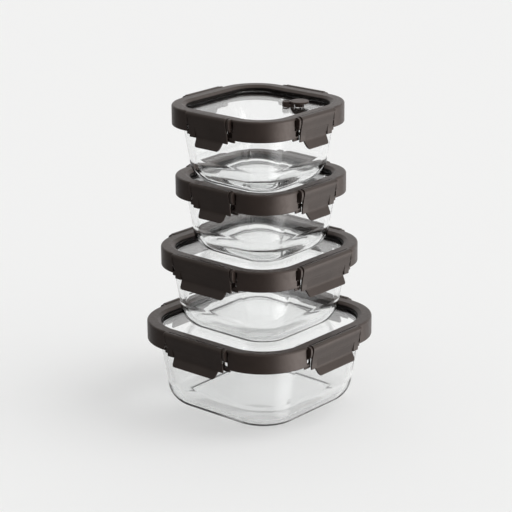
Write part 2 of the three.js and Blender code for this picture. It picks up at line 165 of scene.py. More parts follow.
# Outlines of (outward, z): the ear from the frame's face and crest, the rest from the hinge axis.
EAR_OUTLINE = [
    (-NOTCH_DEPTH - JOINT_OVERLAP, -0.4), (0, 0.3), (1.6, 0.1), (2.9, -0.7), (3.6, -2.2), (3.6, -5.2),
    (3.2, -8), (2.4, -10.2), (1.2, -11.2), (-NOTCH_DEPTH - JOINT_OVERLAP, -11.2),
]
EAR_PROUD = 3.6
PLATE_FRONT = [(2.8, -2.6), (1.9, -6.6), (1.2, -10.6), (0.6, -14.6), (0.3, -19.8)]
PLATE_BACK = [(-0.7, -3.6), (-0.5, -7.8), (-1, -12.8), (-1.3, -19.8)]
TONGUE_FRONT = [(1.2, -10.4), (0.4, -13.8), (-0.5, -17.8), (-0.8, -19.6), (-0.3, -21), (3.5, -27)]
TONGUE_BACK = [(-0.8, -11.8), (-1.9, -16.8), (-2.3, -19.6), (-1.7, -21.7), (2.1, -27.8)]
PLATE_BOTTOM = PLATE_FRONT[-1][1]
TAB_TIP = TONGUE_BACK[-1][1]

# The steam vent, from its stem's axis on the pane's top face.
VENT_CENTRE = (16.6, 18.8)
VENT_TURN = math.radians(38)
VENT_BACK = 3.3
VENT_FRONT = 2.9
VENT_HALF_WIDTH = 4.1
VENT_HEIGHT = 5
VENT_BACK_STEPS = 15
VENT_STEP_FRONT = 7.5      # low part of the block, under the flap
VENT_STEP_HEIGHT = 2.7
VENT_SLOT_HALF = 1.6
VENT_SLOT_BACK = -0.55
VENT_SLOT_FLOOR = 1.4
VENT_SEAT = 0.04           # gap under the soft block and plug, which rest on the pane
VENT_AXIS = (1.3, 3.5)     # x and z of the flap's hinge
VENT_PIN_RADIUS = 0.7
VENT_PIN_HALF = 2.6
KNUCKLE_RADIUS = 1.3
STEM_RADIUS = 2
FLANGE_RADIUS = 3.2
FLANGE_THICK = 0.9
FLAP_RADIUS = 8.6
FLAP_CENTRE = 12.1
FLAP_BOTTOM = 3.1
FLAP_THICK = 2.2
PLUG_RADIUS = 4.2
PLUG_NECK_RADIUS = 3.1     # where the plug enters its hole
PLUG_TIP_RADIUS = 2.3
PLUG_TIP_DEPTH = -1.6
PLUG_HOLE_RADIUS = 3.6
PLUG_ROOT = 0.5            # how far the plug runs up into the flap
STEM_TOP = 1               # end of the stem, inside the block
NECK_HALF_HEIGHT = 1
NECK_FILLET = 0.2
ROD_FILLET = 0.15
POST_FILLET = 0.3
STEP_FILLET = 0.4
VENT_FILLET = 0.6
FLAP_FILLET = 0.7


class Container:
    """Sizes of one container in millimetres, read from its CAD nodes."""

    def __init__(self, name, shape):
        low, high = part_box(f"{name}_lid_frame")
        latch_low, latch_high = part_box(f"{name}_latch_front")
        self.name = name
        self.centre = ((low.x + high.x) / 2 / MM, (low.y + high.y) / 2 / MM)
        self.half = (high.x - low.x) / 2 / MM - EAR_PROUD
        self.crest = low.z / MM + BRIDGE_DROP
        self.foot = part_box(f"{name}_bowl")[0].z / MM
        self.height = self.crest - self.foot
        self.latch_half = (latch_high.x - latch_low.x) / 2 / MM - PIN_LENGTH
        self.tab_half = shape["tab_half"]
        self.wall_top = shape["wall_top"]
        self.knee = shape["knee"]

    def level(self, inset, z, sharpest=None):
        """Outline half width, corner radius and height, at an inset from the frame's outer face."""
        rounding = min(inset, self.knee if sharpest is None else sharpest)
        return self.half - inset, CORNER_RATIO * self.half - rounding, z

    def place(self, z=None):
        """Moves a piece made about the container's own axis to where the container stands."""
        return Matrix.Translation((*self.centre, self.foot if z is None else z))


CONTAINERS = [Container(name, shape) for name, shape in SHAPES.items()]


# ---- mesh helpers, all in millimetres ---------------------------------------------------------

CORNER_STEPS = 20          # chords in a quarter circle of a plan corner
CIRCLE_STEPS = 48
FILLET_STEPS = 3
ARC_STEP = math.radians(14)
LARGEST_ARC_SHARE = 0.49   # how much of an outline's side one rounded corner may use
SAME_POINT = 1e-6          # metres
SMOOTH_ANGLE = 35          # degrees, over which an edge stays sharp
FACE_WEIGHT = 80           # how strongly large faces hold the shading flat


def round_corners(points, step=ARC_STEP):
    """A closed outline of (x, y, corner radius) points, with its corners turned into arcs."""
    outline = []
    for index, (x, y, radius) in enumerate(points):
        corner = Vector((x, y))
        back = Vector(points[index - 1][:2]) - corner
        ahead = Vector(points[(index + 1) % len(points)][:2]) - corner
        if radius <= 0:
            outline.append(corner)
            continue
        half_angle = back.angle(ahead) / 2
        room = LARGEST_ARC_SHARE * min(back.length, ahead.length)
        reach = min(radius / math.tan(half_angle), room)
        radius = reach * math.tan(half_angle)
        start = corner + back.normalized() * reach
        end = corner + ahead.normalized() * reach
        inward = (back.normalized() + ahead.normalized()).normalized()
        middle = corner + inward * (radius / math.sin(half_angle))
        sweep = math.pi - 2 * half_angle
        count = max(2, math.ceil(sweep / step))
        first, last = start - middle, end - middle
        for part in range(count + 1):
            share = part / count
            spoke = first * math.sin((1 - share) * sweep) + last * math.sin(share * sweep)
            outline.append(middle + spoke / math.sin(sweep))
    return [(p.x, p.y) for p in outline]


def softened(points, radius):
    """The outline with the same radius at every corner."""
    return round_corners([(x, y, radius) for x, y in points])


def circle(radius, count=CIRCLE_STEPS):
    angles = [2 * math.pi * part / count for part in range(count)]
    return [(radius * math.cos(angle), radius * math.sin(angle)) for angle in angles]


def rounded_square(half, radius):
    centre = half - radius
    points = []
    for corner in range(4):
        middle = (corner + 0.5) * math.pi / 2
        side_x = math.copysign(centre, math.cos(middle))
        side_y = math.copysign(centre, math.sin(middle))
        for step in range(CORNER_STEPS + 1):
            angle = (corner + step / CORNER_STEPS) * math.pi / 2
            points.append((side_x + radius * math.cos(angle), side_y + radius * math.sin(angle)))
    return points


def mesh_object(name, vertices, faces):
    mesh = bpy.data.meshes.new(name)
    mesh.from_pydata([tuple(v) for v in vertices], [], faces)
    mesh.validate()
    obj = bpy.data.objects.new(name, mesh)
    bpy.context.scene.collection.objects.link(obj)
    return obj


def skin(name, rings, looped=False):
    """Closed surface through rings of points; ends are capped unless the rings loop."""
    count = len(rings[0])
    vertices = [point for ring in rings for point in ring]
    faces = []
    rows = len(rings) if looped else len(rings) - 1
    for row in range(rows):
        low, high = row * count, ((row + 1) % len(rings)) * count
        for step in range(count):
            after = (step + 1) % count
            faces.append((low + step, low + after, high + after, high + step))
    if not looped:
        last = (len(rings) - 1) * count
        faces.append(tuple(reversed(range(count))))
        faces.append(tuple(range(last, last + count)))
    obj = mesh_object(name, vertices, faces)
    outward(obj)
    return obj


def outward(obj):
    """Turns every face of a closed mesh to look outward."""
    edit = bmesh.new()
    edit.from_mesh(obj.data)
    bmesh.ops.recalc_face_normals(edit, faces=edit.faces)
    edit.to_mesh(obj.data)
    edit.free()


def square_loft(name, levels, looped=False):
    """Surface through levels of (half width, corner radius, height)."""
    rings = [[(x, y, z) for x, y in rounded_square(half, radius)] for half, radius, z in levels]
    return skin(name, rings, looped)


def inset_outline(points, distance):
    """The anticlockwise outline moved inward by a distance."""
    moved = []
    for index, point in enumerate(points):
        here = Vector(point)
        before = (here - Vector(points[index - 1])).normalized()
        after = (Vector(points[(index + 1) % len(points)]) - here).normalized()
        normal_before = Vector((-before.y, before.x))
        normal_after = Vector((-after.y, after.x))
        miter = (normal_before + normal_after) / max(0.5, 1 + normal_before.dot(normal_after))
        moved.append(tuple(here + miter * distance))
    return moved


def slab(name, outline, depth, fillet=0.0):
    """Plate of an anticlockwise outline in XY, thick along +Z, with rounded edges on both faces."""
    if fillet <= 0:
        return skin(name, [[(x, y, z) for x, y in outline] for z in (0, depth)])
    rings = []
    for part in range(FILLET_STEPS + 1):
        angle = part / FILLET_STEPS * math.pi / 2
        inset, rise = fillet * (1 - math.sin(angle)), fillet * (1 - math.cos(angle))
        rings.append([(x, y, rise) for x, y in inset_outline(outline, inset)])
    top = [[(x, y, depth - z) for x, y, z in ring] for ring in reversed(rings)]
    return skin(name, rings + top)


def transformed(obj, matrix):
    obj.data.transform(matrix)
    return obj


def combine(base, others, operation):
    """Adds the other objects to base, or cuts or intersects base with them, and removes them."""
    joined = others[0]
    edit = bmesh.new()
    for other in others:
        edit.from_mesh(other.data)
    edit.to_mesh(joined.data)
    edit.free()
    step = base.modifiers.new("step", "BOOLEAN")
    step.solver = "EXACT"
    step.operation = operation
    step.object = joined
    bpy.context.view_layer.update()
    graph = bpy.context.evaluated_depsgraph_get()
    made = bpy.data.meshes.new_from_object(base.evaluated_get(graph))
    base.modifiers.clear()
    base.data = made
    for other in others:
        bpy.data.objects.remove(other)
    return base


def finish_piece(obj, body, node, material, sharp=SMOOTH_ANGLE):
    """Scales a piece to metres, shades it, and hands it to its CAD body and node."""
    obj.data.transform(Matrix.Scale(MM, 4))
    tidy = bmesh.new()
    tidy.from_mesh(obj.data)
    bmesh.ops.remove_doubles(tidy, verts=tidy.verts, dist=SAME_POINT)
    bmesh.ops.recalc_face_normals(tidy, faces=tidy.faces)
    tidy.to_mesh(obj.data)
    tidy.free()
    obj.data.materials.clear()
    obj.data.materials.append(material)
    obj.data.shade_smooth()
    obj.data.set_sharp_from_angle(angle=math.radians(sharp))
    weighted = obj.modifiers.new("weighted", "WEIGHTED_NORMAL")
    weighted.keep_sharp = True
    weighted.weight = FACE_WEIGHT
    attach(obj, body)
    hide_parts(node)
    return obj


# ---- materials --------------------------------------------------------------------------------

# Noise scales, in cells per metre.
MOTTLE_SCALE = 60.0
GLOSS_SCALE = 350.0
GRAIN_SCALE = 2600.0
WAVE_SCALE = 45.0
MIDDLE = (0.3, 0.7)        # the part of a noise's range that is stretched over a material's range
GRAIN_HEIGHT = 0.00005     # metres
GLOSS_CHANGE = (-0.05, 0.06)   # how far the roughness strays from its mean
EDGE_ROUNDING = 0.15
EDGE_SAMPLES = 4
SHEEN_TINT = (1.0, 0.9, 0.85)   # the dark brown pigment warms the sheen of the plastic
GLASS_TINT = (0.984, 0.988, 0.987)
GLASS_IOR = 1.47


def new_material(name):
    material = bpy.data.materials.new(name)
    material.use_nodes = True
    nodes, links = material.node_tree.nodes, material.node_tree.links
    return material, nodes, links, nodes["Principled BSDF"]


def noise(nodes, links, scale, detail):
    texture = nodes.new("ShaderNodeTexNoise")
    texture.inputs["Scale"].default_value = scale
    texture.inputs["Detail"].default_value = detail
    coordinates = nodes.new("ShaderNodeTexCoord").outputs["Object"]
    links.new(coordinates, texture.inputs["Vector"])
    return texture.outputs["Fac"]


def remap(nodes, links, value, old_range, new_range):
    ranged = nodes.new("ShaderNodeMapRange")
    ranged.inputs["From Min"].default_value = old_range[0]
    ranged.inputs["From Max"].default_value = old_range[1]
    ranged.inputs["To Min"].default_value = new_range[0]
    ranged.inputs["To Max"].default_value = new_range[1]
    links.new(value, ranged.inputs["Value"])
    return ranged.outputs["Result"]


def mixed_colour(nodes, links, share, dark, light):
    mix = nodes.new("ShaderNodeMix")
    mix.data_type = "RGBA"
    mix.inputs["A"].default_value = (*dark, 1)
    mix.inputs["B"].default_value = (*light, 1)
    links.new(share, mix.inputs["Factor"])
    return mix.outputs["Result"]


def moulded_plastic(name, dark, light, roughness, specular, grain):
    """Moulded satin material: faint flow mottling, uneven gloss, fine grain, soft edges."""
    material, nodes, links, shader = new_material(name)
    mottle = remap(nodes, links, noise(nodes, links, MOTTLE_SCALE, 3.0), MIDDLE, (0, 1))
    links.new(mixed_colour(nodes, links, mottle, dark, light), shader.inputs["Base Color"])
    shine_range = [roughness + change for change in GLOSS_CHANGE]
    shine = remap(nodes, links, noise(nodes, links, GLOSS_SCALE, 2.0), MIDDLE, shine_range)
    links.new(shine, shader.inputs["Roughness"])
    shader.inputs["Specular IOR Level"].default_value = specular
    shader.inputs["Specular Tint"].default_value = (*SHEEN_TINT, 1)
    rounded = nodes.new("ShaderNodeBevel")
    rounded.samples = EDGE_SAMPLES
    rounded.inputs["Radius"].default_value = EDGE_ROUNDING * MM
    bump = nodes.new("ShaderNodeBump")
    bump.inputs["Strength"].default_value = grain
    bump.inputs["Distance"].default_value = GRAIN_HEIGHT
    links.new(noise(nodes, links, GRAIN_SCALE, 1.0), bump.inputs["Height"])
    links.new(rounded.outputs["Normal"], bump.inputs["Normal"])
    links.new(bump.outputs["Normal"], shader.inputs["Normal"])
    return material


def clear_glass(name, waviness):
    """Clear pressed glass with faint waves of a height in metres; it casts no dark shadow."""
    material, nodes, links, shader = new_material(name)
    shader.inputs["Base Color"].default_value = (*GLASS_TINT, 1)
    shader.inputs["Roughness"].default_value = 0.0
    shader.inputs["IOR"].default_value = GLASS_IOR
    shader.inputs["Transmission Weight"].default_value = 1.0
    bump = nodes.new("ShaderNodeBump")
    bump.inputs["Strength"].default_value = 1.0
    bump.inputs["Distance"].default_value = waviness
    links.new(noise(nodes, links, WAVE_SCALE, 1.0), bump.inputs["Height"])
    links.new(bump.outputs["Normal"], shader.inputs["Normal"])
    clear = nodes.new("ShaderNodeBsdfTransparent")
    clear.inputs["Color"].default_value = (*[channel ** 0.5 for channel in GLASS_TINT], 1)
    path = nodes.new("ShaderNodeLightPath")
    choice = nodes.new("ShaderNodeMixShader")
    links.new(path.outputs["Is Shadow Ray"], choice.inputs["Fac"])
    links.new(shader.outputs["BSDF"], choice.inputs[1])
    links.new(clear.outputs["BSDF"], choice.inputs[2])
    links.new(choice.outputs["Shader"], nodes["Material Output"].inputs["Surface"])
    return material


BOWL_GLASS = clear_glass("bowl_glass_look", 0.00003)
PANE_GLASS = clear_glass("pane_glass_look", 0.000005)
FRAME_PLASTIC = moulded_plastic(
    "frame_plastic_look", (0.034, 0.0235, 0.0195), (0.043, 0.03, 0.025),
    roughness=0.42, specular=0.45, grain=0.12)
LATCH_PLASTIC = moulded_plastic(
    "latch_plastic_look", (0.032, 0.0225, 0.0185), (0.041, 0.029, 0.024),
    roughness=0.38, specular=0.45, grain=0.12)
GASKET_SILICONE = moulded_plastic(
    "gasket_silicone_look", (0.006, 0.005, 0.0045), (0.01, 0.008, 0.0075),
    roughness=0.45, specular=0.12, grain=0.01)
VENT_SILICONE = moulded_plastic(
    "vent_silicone_look", (0.045, 0.031, 0.026), (0.056, 0.039, 0.033),
    roughness=0.45, specular=0.35, grain=0.1)


# ---- glass bowl and pane ------------------------------------------------------------------------

CURVE_STEPS = 14


def bottom_curve(start_inset, end_inset, start_z, rise):
    """Quarter ellipse of (inset, z) that leaves a level floor and ends upright."""
    for part in range(CURVE_STEPS + 1):
        angle = part / CURVE_STEPS * math.pi / 2
        yield (start_inset - (start_inset - end_inset) * math.sin(angle),
               start_z + rise * (1 - math.cos(angle)))


def build_bowl(c):
    rim_top = c.height - RIM_DROP
    inner_knee = c.knee + WALL_THICK
    levels = [c.level(FOOT_INSET + inward, z) for inward, z in BASE_HOLLOW]
    levels += [c.level(inset, z) for inset, z in bottom_curve(FOOT_INSET, c.knee, 0, KNEE_HEIGHT)]
    wall = round_corners([
        (c.knee, KNEE_HEIGHT, 0),
        (c.wall_top, c.height - FRAME_HEIGHT, WALL_BEND),
        (c.wall_top - WALL_LEAN, rim_top - RIM_THICK, BEAD_ROOT),
        (RIM_INSET, rim_top - RIM_THICK + BEAD_SLOPE, RIM_ROUNDING),
        (RIM_INSET, rim_top, RIM_ROUNDING),
        (c.wall_top + WALL_THICK - RIM_MOUTH, rim_top, RIM_ROUNDING),
        (inner_knee, FLOOR_THICK + INNER_KNEE_HEIGHT, 0),
    ])
    levels += [c.level(inset, z, inner_knee) for inset, z in wall[1:-1]]
    inner = list(bottom_curve(INNER_FOOT_INSET, inner_knee, FLOOR_THICK, INNER_KNEE_HEIGHT))
    levels += [c.level(inset, z, inner_knee) for inset, z in reversed(inner)]
    levels.append(c.level(FOOT_INSET + FLOOR_BORDER, FLOOR_THICK, inner_knee))
    bowl = transformed(square_loft(f"{c.name}_bowl_glass", levels), c.place())
    finish_piece(bowl, f"{c.name}_container", f"{c.name}_bowl", BOWL_GLASS, sharp=60)


def vent_turn():
    return Matrix.Translation((*VENT_CENTRE, 0)) @ Matrix.Rotation(VENT_TURN, 4, "Z")


def pane_hole(radius, top, along):
    """Cutter for a round hole through the pane, at a distance from the vent's stem."""
    heights = (top - PANE_THICK - OVERLAP, top + OVERLAP)
    hole = skin("hole", [[(x, y, z) for x, y in circle(radius)] for z in heights])
    return transformed(hole, vent_turn() @ Matrix.Translation((along, 0, 0)))


def build_pane(c):
    top = c.height - PANE_DROP
    border = PANE_INSET + PANE_BORDER
    edge = round_corners([
        (border, top - PANE_THICK, 0),
        (PANE_INSET, top - PANE_THICK, PANE_ROUNDING),
        (PANE_INSET, top, PANE_ROUNDING),
        (border, top, 0),
    ])
    pane = square_loft(f"{c.name}_lid_pane_glass", [c.level(inset, z) for inset, z in edge])
    if c.name == VENTED:
        holes = [pane_hole(STEM_RADIUS + FIT, top, 0), pane_hole(PLUG_HOLE_RADIUS, top, FLAP_CENTRE)]
        combine(pane, holes, "DIFFERENCE")
    transformed(pane, c.place())
    finish_piece(pane, f"{c.name}_lid", f"{c.name}_lid_pane", PANE_GLASS, sharp=30)


# ---- lid frame and gasket -----------------------------------------------------------------------

# Stands a slab of (outward, z) points on its edge: outward becomes -Y, its thickness runs down X.
PRISM_TURN = Matrix(((0, 0, -1, 0), (-1, 0, 0, 0), (0, 1, 0, 0), (0, 0, 0, 1)))
STAND_UP = Matrix.Rotation(math.pi / 2, 4, "X")
CUT_ARC_STEP = math.radians(20)


def side_turn(index):
    return Matrix.Rotation(index * math.pi / 2, 4, "Z")


def span(end, start, stop):
    """The two stations along X of a stretch that lies towards one end."""
    return sorted((end * start, end * stop))


def side_prism(name, outline, ends, fillet=0.0):
    """Prism along X between two ends, of an anticlockwise outline of (outward, z) points."""
    prism = slab(name, outline, ends[1] - ends[0], fillet)
    return transformed(prism, Matrix.Translation((ends[1], 0, 0)) @ PRISM_TURN)


def upright_slab(name, sides, heights, radius, front, depth, fillet=0.0):
    """Rounded rectangle standing in XZ, reaching from y = front inward by depth."""
    (left, right), (low, high) = sides, heights
    outline = round_corners([
        (left, low, radius), (right, low, radius), (right, high, radius), (left, high, radius),
    ], CUT_ARC_STEP)
    place = Matrix.Translation((0, front + depth, 0))
    return transformed(slab(name, outline, depth, fillet), place @ STAND_UP)


def on_every_side(make):
    """Makes the pieces of a lid's front once for each of its four sides."""
    return [transformed(piece, side_turn(index)) for index in range(len(SIDES)) for piece in make()]


def frame_ring(c):
    section = round_corners([
        (SKIRT_THICK, FRAME_HEIGHT, 0.4),
        (0, FRAME_HEIGHT, 0.8),
        (0, 0, CREST_ROUNDING),
        (CREST_INSET, 0, 0.9),
        (BEVEL_INSET, BEVEL_DROP, 0.15),
        (BEVEL_INSET, LIP_BOTTOM_DROP, 0),
        (GASKET_WRAP_INSET - FIT, LIP_BOTTOM_DROP, 0),
        (GASKET_WRAP_INSET - FIT, PANE_BOTTOM_DROP, 0),
        (SKIRT_THICK, PANE_BOTTOM_DROP, 0.8),
    ])
    levels = [c.level(inset, c.height - drop) for inset, drop in section]
    return square_loft(f"{c.name}_lid_frame_moulding", levels, True)


def build_frame(c):
    face = -c.half
    notch = c.latch_half + EAR_GAP
    pocket_start = notch + EAR_WIDTH
    pocket_end = pocket_start + POCKET_WIDTH
    hinge = Matrix.Translation((0, face - HINGE_PROUD, c.height - HINGE_DROP))

    def cutter(sides, drops, corner):
        """Cutter through the skirt, between two stations along the side and two drops."""
        heights = (c.height - drops[1], c.height - drops[0])
        return upright_slab("cutter", sides, heights, corner, face - OVERLAP, NOTCH_DEPTH + OVERLAP)

    def bridges():
        heights = (c.height - BRIDGE_DROP, c.height - WINDOW_DROP[1] + JOINT_OVERLAP)
        ends = [span(end, notch, pocket_end) for end in ENDS]
        depth = SKIRT_THICK - BRIDGE_INSET
        return [upright_slab("bridge", stretch, heights, BRIDGE_CORNER, face + BRIDGE_INSET, depth,
                             BRIDGE_FILLET) for stretch in ends]

    def notches():
        notch_drops = (HINGE_DROP, BRIDGE_DROP + OVERLAP)
        pockets = [cutter(span(end, pocket_start, pocket_end), POCKET_DROP, POCKET_CORNER) for end in ENDS]
        return [cutter((-notch, notch), notch_drops, 0), *pockets]

    def barrels():
        barrel = side_prism("barrel", circle(BARREL_RADIUS + LATCH_GROOVE), (-notch, notch))
        return [transformed(barrel, hinge)]

    def ears():
        outline = softened(list(reversed(EAR_OUTLINE)), EAR_CORNER)
        place = Matrix.Translation((0, face, c.height))
        ends = [span(end, notch, pocket_start + EAR_REACH) for end in ENDS]
        return [transformed(side_prism("ear", outline, stretch, EAR_FILLET), place) for stretch in ends]

    def webs():
        heights = (c.height - BRIDGE_DROP + WEB_RISE, c.height - PANE_BOTTOM_DROP + WEB_TOP_RISE)
        ends = [span(end, notch - WEB_REACH, notch + WEB_ROOT) for end in ENDS]
        depth = NOTCH_DEPTH - WEB_INSET
        return [upright_slab("web", stretch, heights, WEB_CORNER, face + WEB_INSET, depth)
                for stretch in ends]

    def windows():
        inner, outer = WINDOW_REACH
        return [cutter(span(end, notch + inner, notch + outer), WINDOW_DROP, WINDOW_CORNER) for end in ENDS]

    def bores():
        outline = circle(PIN_RADIUS + FIT, PIN_STEPS)
        ends = [span(end, notch - BORE_MOUTH, pocket_start - BORE_FLOOR) for end in ENDS]
        return [transformed(side_prism("bore", outline, stretch), hinge) for stretch in ends]

    ring = frame_ring(c)
    steps = [
        (bridges, "UNION"), (notches, "DIFFERENCE"), (barrels, "DIFFERENCE"), (ears, "UNION"),
        (webs, "UNION"), (windows, "DIFFERENCE"), (bores, "DIFFERENCE"),
    ]
    for make, operation in steps:
        combine(ring, on_every_side(make), operation)
    transformed(ring, c.place())
    finish_piece(ring, f"{c.name}_lid", f"{c.name}_lid_frame", FRAME_PLASTIC)


def build_gasket(c):
    section = round_corners([
        (GASKET_FACE_INSET, GASKET_BOTTOM_DROP, 0.5),
        (GASKET_FOOT_INSET, GASKET_BOTTOM_DROP, 0.5),
        (GASKET_FOOT_INSET, PANE_BOTTOM_DROP + FIT, 0.4),
        (GASKET_WRAP_INSET, PANE_BOTTOM_DROP + FIT, 0),
        (GASKET_WRAP_INSET, LIP_BOTTOM_DROP + FIT, 0.4),
        (GASKET_FACE_INSET, LIP_BOTTOM_DROP + FIT, 0.5),
        (GASKET_FACE_INSET, PANE_DROP - FIT, 0.5),
        (PANE_INSET - FIT, PANE_DROP - FIT, 0),
        (PANE_INSET - FIT, PANE_BOTTOM_DROP + FIT, 0),
        (GASKET_FACE_INSET, PANE_BOTTOM_DROP + FIT, 0.3),
    ])
    levels = [c.level(inset, c.height - drop) for inset, drop in section]
    ring = transformed(square_loft(f"{c.name}_gasket_ring", levels, True), c.place())
    finish_piece(ring, f"{c.name}_lid", f"{c.name}_gasket", GASKET_SILICONE)


# ---- latch: origin on the hinge axis, X along the hinge, -Y outward --------------------------------

def plate_outline():
    """Barrel and plate seen from the end, anticlockwise."""
    outline = []
    for part in range(BARREL_STEPS + 1):
        angle = math.radians(BARREL_SWEEP * (1 - part / BARREL_STEPS))
        outline.append((BARREL_RADIUS * math.cos(angle), BARREL_RADIUS * math.sin(angle), 0))
    for x, y in PLATE_FRONT + list(reversed(PLATE_BACK)):
        outline.append((x, y, PLATE_EDGE if y == PLATE_BOTTOM else PLATE_BEND))
    return list(reversed(round_corners(outline)))


def tab_block(half):
    """Upright block with the front outline of the tongue and its narrowing tab."""
    tip_half = half - TAB_NARROWING
    outline = round_corners([
        (-half, PLATE_BOTTOM, TAB_SHOULDER), (-tip_half, TAB_TIP, TAB_CORNER),
        (tip_half, TAB_TIP, TAB_CORNER), (half, PLATE_BOTTOM, TAB_SHOULDER), (half, 0, 0), (-half, 0, 0),
    ])
    place = Matrix.Translation((0, TAB_CUTTER_DEPTH / 2, 0))
    return transformed(slab("tab", outline, TAB_CUTTER_DEPTH), place @ STAND_UP)


def tongue_block(half):
    outline = softened(list(reversed(TONGUE_FRONT + list(reversed(TONGUE_BACK)))), TONGUE_ROUNDING)
    tongue = side_prism("tongue", outline, (-half, half))
    return combine(tongue, [tab_block(half)], "INTERSECT")


def recess_block(half):
    """Cutter for the recess in the plate that the tongue sits in."""
    floor = [(x - TONGUE_SINK, z) for x, z in TONGUE_FRONT if z >= PLATE_BOTTOM]
    outline = [
        (RECESS_MOUTH, TONGUE_FRONT[0][1]), *floor,
        (RECESS_FLOOR, PLATE_BOTTOM - OVERLAP), (RECESS_MOUTH, PLATE_BOTTOM - OVERLAP),
    ]
    return side_prism("recess", outline, (-half - TONGUE_GROOVE, half + TONGUE_GROOVE))


def hook_block(half):
    """Ridge behind the plate that holds the lid down on the rim's bead."""
    back = -(RIM_INSET - FIT + HINGE_PROUD)
    bottom = HOOK_TOP - HOOK_HEIGHT
    outline = round_corners([
        (back, HOOK_TOP, HOOK_ROUNDING), (back, HOOK_TOP - HOOK_LIP, HOOK_ROUNDING),
        (back + HOOK_SLOPE, bottom, HOOK_HEEL), (HOOK_ROOT, bottom, 0), (HOOK_ROOT, HOOK_TOP, 0),
    ])
    return side_prism("hook", outline, (-half, half), HOOK_ROUNDING)


def build_latch_mesh(c):
    pin_half = c.latch_half + PIN_LENGTH
    latch = side_prism("plate", plate_outline(), (-c.latch_half, c.latch_half), PLATE_FILLET)
    pin = side_prism("pin", circle(PIN_RADIUS - PIN_SLACK, PIN_STEPS), (-pin_half, pin_half), PIN_FILLET)
    combine(latch, [recess_block(c.tab_half)], "DIFFERENCE")
    for piece in (tongue_block(c.tab_half), hook_block(c.latch_half * HOOK_SHARE), pin):
        combine(latch, [piece], "UNION")
    return latch


def build_latches(c):
    pattern = build_latch_mesh(c)
    hinge = Matrix.Translation((0, -c.half - HINGE_PROUD, c.height - HINGE_DROP))
    for index, side in enumerate(SIDES):
        node = f"{c.name}_latch_{side}"
        latch = bpy.data.objects.new(f"{node}_clip", pattern.data.copy())
        bpy.context.scene.collection.objects.link(latch)
        transformed(latch, c.place() @ side_turn(index) @ hinge)
        finish_piece(latch, node, node, LATCH_PLASTIC)
    bpy.data.objects.remove(pattern)


# ---- steam vent: origin on the pane's top face, X towards the flap --------------------------------

def post(name, radius, low, high, along=0.0, fillet=POST_FILLET):
    place = Matrix.Translation((along, 0, low))
    return transformed(slab(name, circle(radius), high - low, fillet), place)


def plug_tip():
    """Cone that guides the plug into its hole."""
    ends = [(PLUG_TIP_RADIUS, PLUG_TIP_DEPTH), (PLUG_NECK_RADIUS, FIT + OVERLAP)]
    cone = skin("tip", [[(x, y, z) for x, y in circle(radius)] for radius, z in ends])
    return transformed(cone, Matrix.Translation((FLAP_CENTRE, 0, 0)))


def cross_rod(name, radius, half_length):
    """Rod on the vent's hinge axis, along Y."""
    rod = slab(name, circle(radius, PIN_STEPS), 2 * half_length, ROD_FILLET)
    place = Matrix.Translation((VENT_AXIS[0], half_length, VENT_AXIS[1]))
    return transformed(rod, place @ STAND_UP)


def plan_block(name, outline, heights, fillet):
    """Block with an anticlockwise outline seen from above."""
    low, high = heights
    return transformed(slab(name, outline, high - low, fillet), Matrix.Translation((0, 0, low)))


def plan_box(name, ends, half_width, heights, fillet=0.0):
    back, front = ends
    outline = [(back, -half_width), (front, -half_width), (front, half_width), (back, half_width)]
    return plan_block(name, outline, heights, fillet)


def build_vent_base(c):
    outline = [(VENT_FRONT, -VENT_HALF_WIDTH), (VENT_FRONT, VENT_HALF_WIDTH)]
    for part in range(VENT_BACK_STEPS + 1):
        angle = math.radians(90 - 180 * part / VENT_BACK_STEPS)
        outline.append((-VENT_BACK * math.cos(angle), VENT_HALF_WIDTH * math.sin(angle)))
    flange_top = -PANE_THICK - FIT
    flange_bottom = flange_top - FLANGE_THICK
    slot_ends = (VENT_SLOT_BACK, VENT_STEP_FRONT + OVERLAP)
    slot_heights = (VENT_SLOT_FLOOR, VENT_HEIGHT + OVERLAP)
    step_heights = (VENT_SEAT, VENT_STEP_HEIGHT)
    base = plan_block(f"{c.name}_vent_block", outline, (VENT_SEAT, VENT_HEIGHT), VENT_FILLET)
    for piece in (
        plan_box("step", (0, VENT_STEP_FRONT), VENT_HALF_WIDTH, step_heights, STEP_FILLET),
        post("stem", STEM_RADIUS, (flange_bottom + flange_top) / 2, STEM_TOP),
        post("flange", FLANGE_RADIUS, flange_bottom, flange_top),
    ):
        combine(base, [piece], "UNION")
    combine(base, [plan_box("slot", slot_ends, VENT_SLOT_HALF, slot_heights)], "DIFFERENCE")
    combine(base, [cross_rod("bore", VENT_PIN_RADIUS + FIT, VENT_PIN_HALF + FIT)], "DIFFERENCE")
    transformed(base, c.place(c.crest - PANE_DROP) @ vent_turn())
    finish_piece(base, f"{c.name}_lid", "vent_base", VENT_SILICONE)


